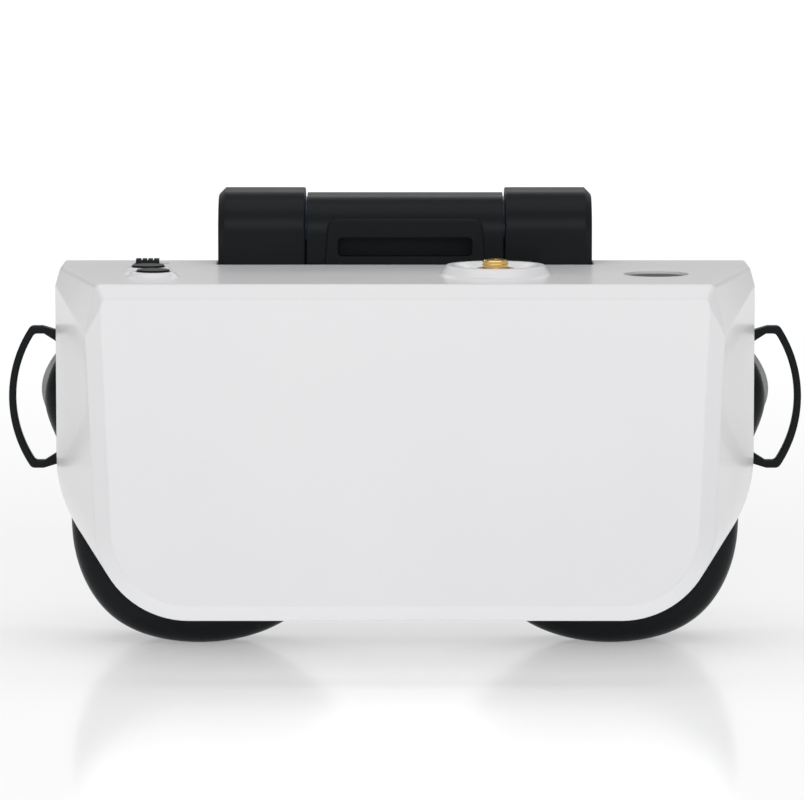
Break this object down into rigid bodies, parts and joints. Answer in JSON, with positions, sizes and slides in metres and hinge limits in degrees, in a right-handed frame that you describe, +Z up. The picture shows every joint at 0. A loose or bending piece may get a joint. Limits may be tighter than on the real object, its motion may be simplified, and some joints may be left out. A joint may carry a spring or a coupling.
{
  "type": "fpv goggles",
  "caption": "Box-shaped FPV goggles with a flat white front, black faceplate and cushion, side strap loops, top controls, antenna jack and a lift-off battery case.",
  "frame": {"origin": "under the middle of the goggles, level with the lowest point of the cheek lobes", "axes": "+Z up, -Y out of the flat front face, +X to the right of someone facing the front"},
  "size_m": [0.2012, 0.1056, 0.1178],
  "materials": {
    "white_shell": "glossy white injection moulding",
    "black_plastic": "fine textured black moulding",
    "black_satin": "satin black moulding",
    "cushion_fabric": "brushed knit over foam",
    "lens_acrylic": "polished clear acrylic",
    "display_glass": "polished dark display glass",
    "circuit_board": "solder-masked laminate",
    "shield_metal": "tinned sheet",
    "steel": "zinc-plated steel",
    "gold_brass": "gold-plated brass",
    "ceramic_tile": "fired ceramic",
    "cell_wrap": "shrink-wrapped steel can"
  },
  "bodies": {
    "root": {"front_shell": "white_shell", "rear_shell": "white_shell", "shell_screws": "steel", "faceplate_frame": "black_satin", "face_cushion": "cushion_fabric", "faceplate_screws": "steel", "lens": "lens_acrylic", "lens_bezel": "black_plastic", "bezel_screws": "steel", "optic_tunnel": "black_plastic", "display_frame": "black_plastic", "display_panel": "display_glass", "main_board": "circuit_board", "main_board_screws": "steel", "receiver_shield": "shield_metal", "recorder_shield": "shield_metal", "patch_antenna": "ceramic_tile", "power_jack": "black_plastic", "av_jack": "black_plastic", "card_slot": "shield_metal", "left_button_board": "circuit_board", "right_button_board": "circuit_board", "button_board_screws": "steel", "tactile_switches": "black_plastic", "slide_switches": "shield_metal", "sma_jack": "gold_brass", "sma_nut": "gold_brass", "left_loop_pin": "steel", "right_loop_pin": "steel", "dock_pins": "gold_brass"},
    "memory_card_body": {"memory_card": "black_plastic"},
    "front_button_body": {"front_button": "black_satin"},
    "middle_button_body": {"middle_button": "black_satin"},
    "power_button_body": {"power_button": "black_satin"},
    "mode_slider_body": {"mode_slider": "black_plastic"},
    "small_slider_body": {"small_slider": "black_plastic"},
    "left_strap_loop_body": {"left_strap_loop": "black_satin"},
    "right_strap_loop_body": {"right_strap_loop": "black_satin"},
    "battery": {"battery_body": "black_satin", "left_battery_end": "black_satin", "right_battery_end": "black_satin", "battery_cell": "cell_wrap", "battery_contacts": "steel", "battery_spring": "steel", "charge_board": "circuit_board", "battery_pads": "gold_brass"}
  },
  "joints": [
    {"name": "front_button_press", "type": "slide", "parent": "root", "child": "front_button_body", "axis": [0, 0, -1], "range_m": [0, 0.0008], "stiffness_N_per_m": 1200},
    {"name": "middle_button_press", "type": "slide", "parent": "root", "child": "middle_button_body", "axis": [0, 0, -1], "range_m": [0, 0.0008], "stiffness_N_per_m": 1200},
    {"name": "power_button_press", "type": "slide", "parent": "root", "child": "power_button_body", "axis": [0, 0, -1], "range_m": [0, 0.0008], "stiffness_N_per_m": 1200},
    {"name": "mode_slider_slide", "type": "slide", "parent": "root", "child": "mode_slider_body", "axis": [1, 0, 0], "range_m": [0, 0.002]},
    {"name": "small_slider_slide", "type": "slide", "parent": "root", "child": "small_slider_body", "axis": [1, 0, 0], "range_m": [0, 0.0016]},
    {"name": "left_loop_swing", "type": "hinge", "parent": "root", "child": "left_strap_loop_body", "pos_m": [-0.086, 0.008, 0.0655], "axis": [0, 0, -1], "range_deg": [-25, 50]},
    {"name": "right_loop_swing", "type": "hinge", "parent": "root", "child": "right_strap_loop_body", "pos_m": [0.086, 0.008, 0.0655], "axis": [0, 0, 1], "range_deg": [-25, 50]},
    {"name": "memory_card_slide", "type": "slide", "parent": "root", "child": "memory_card_body", "axis": [0, 0, -1], "range_m": [0, 0.01]},
    {"name": "battery_lift", "type": "slide", "parent": "root", "child": "battery", "axis": [0, 0, 1], "range_m": [0, 0.03]}
  ]
}
